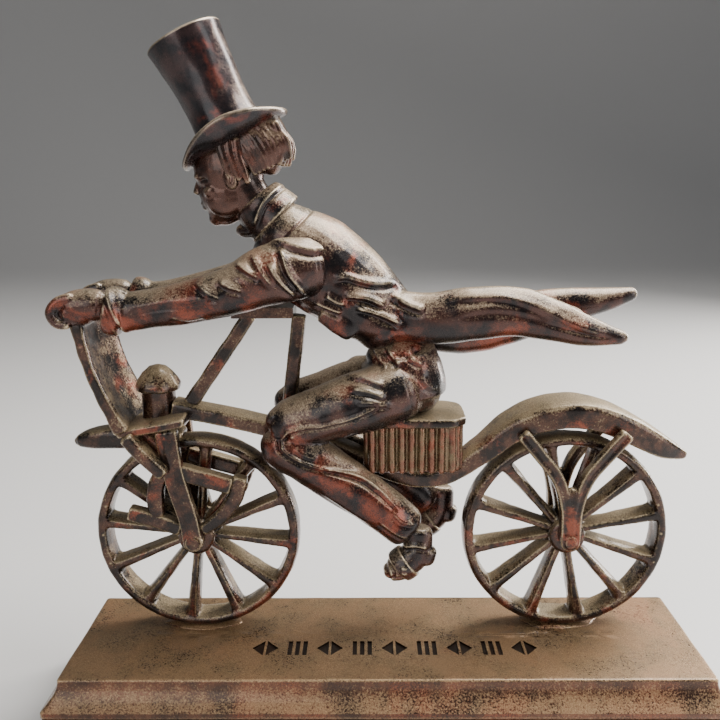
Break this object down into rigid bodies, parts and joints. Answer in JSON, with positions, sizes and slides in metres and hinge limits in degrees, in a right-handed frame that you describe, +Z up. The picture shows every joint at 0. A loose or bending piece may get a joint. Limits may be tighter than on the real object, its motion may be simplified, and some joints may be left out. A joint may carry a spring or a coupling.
{
  "type": "figural coin bank",
  "caption": "Cast coin bank: a top-hatted rider on a two-wheeled running machine, standing on a hollow plinth with a coin slot and a locking trap.",
  "frame": {"origin": "middle of the plinth's footprint, on the surface that it stands on", "axes": "+Z up; the rider travels towards -X; the plinth's front faces -Y and its coin slot faces +Y"},
  "size_m": [0.2084, 0.057, 0.2179],
  "materials": {
    "plinth_bronze": "sand-cast bronze, dark copper patina with golden grain",
    "machine_bronze": "cast bronze, brown-black patina rubbed back on the edges",
    "rider_bronze": "cast bronze, polished brown-black patina with copper-red patches",
    "underside_plate": "dark brown lacquered steel sheet",
    "lock_brass": "turned brass",
    "zinc_plated_steel": "dull zinc plate"
  },
  "bodies": {
    "bank": {"arm_board": "machine_bronze", "arm_board_front_stay": "machine_bronze", "arm_board_rear_stay": "machine_bronze", "backbone": "machine_bronze", "bottom_plate": "underside_plate", "bottom_plate_screws": "zinc_plated_steel", "coat_body": "rider_bronze", "coat_tail_far": "rider_bronze", "coat_tail_near": "rider_bronze", "collar": "rider_bronze", "fork_blade_far": "machine_bronze", "fork_blade_near": "machine_bronze", "fork_crown": "machine_bronze", "fork_front_brace_far": "machine_bronze", "fork_front_brace_near": "machine_bronze", "fork_prow": "machine_bronze", "fork_rear_brace_far": "machine_bronze", "fork_rear_brace_near": "machine_bronze", "front_axle": "machine_bronze", "front_wheel": "machine_bronze", "front_wheel_pad": "plinth_bronze", "hair": "rider_bronze", "hand_far": "rider_bronze", "hand_near": "rider_bronze", "handlebar": "machine_bronze", "hat_brim": "rider_bronze", "hat_crown": "rider_bronze", "head": "rider_bronze", "head_cap": "machine_bronze", "head_tube": "machine_bronze", "hold_down_nuts": "zinc_plated_steel", "hold_down_studs": "zinc_plated_steel", "king_pin": "machine_bronze", "plinth": "plinth_bronze", "rear_axle": "machine_bronze", "rear_stay_far": "machine_bronze", "rear_stay_near": "machine_bronze", "rear_wheel": "machine_bronze", "rear_wheel_pad": "plinth_bronze", "saddle_skirt": "machine_bronze", "saddle_top": "machine_bronze", "shoe_far": "rider_bronze", "shoe_near": "rider_bronze", "shoe_strap_far": "rider_bronze", "shoe_strap_near": "rider_bronze", "sleeve_far": "rider_bronze", "sleeve_near": "rider_bronze", "steering_plate": "machine_bronze", "steering_strut_far": "machine_bronze", "steering_strut_near": "machine_bronze", "trap_hinge_pin": "zinc_plated_steel", "trouser_leg_far": "rider_bronze", "trouser_leg_near": "rider_bronze", "trousers_seat": "rider_bronze"},
    "trap": {"trap_door": "underside_plate"},
    "lock": {"lock_barrel": "lock_brass", "lock_cam": "zinc_plated_steel", "lock_nut": "zinc_plated_steel"}
  },
  "joints": [
    {"name": "trap_hinge", "type": "hinge", "parent": "bank", "child": "trap", "pos_m": [0, 0.0179, 0.0019], "axis": [1, 0, 0], "range_deg": [0, 100]},
    {"name": "lock_turn", "type": "hinge", "parent": "trap", "child": "lock", "pos_m": [0, -0.011, 0.004], "axis": [0, 0, -1], "range_deg": [0, 90]}
  ]
}
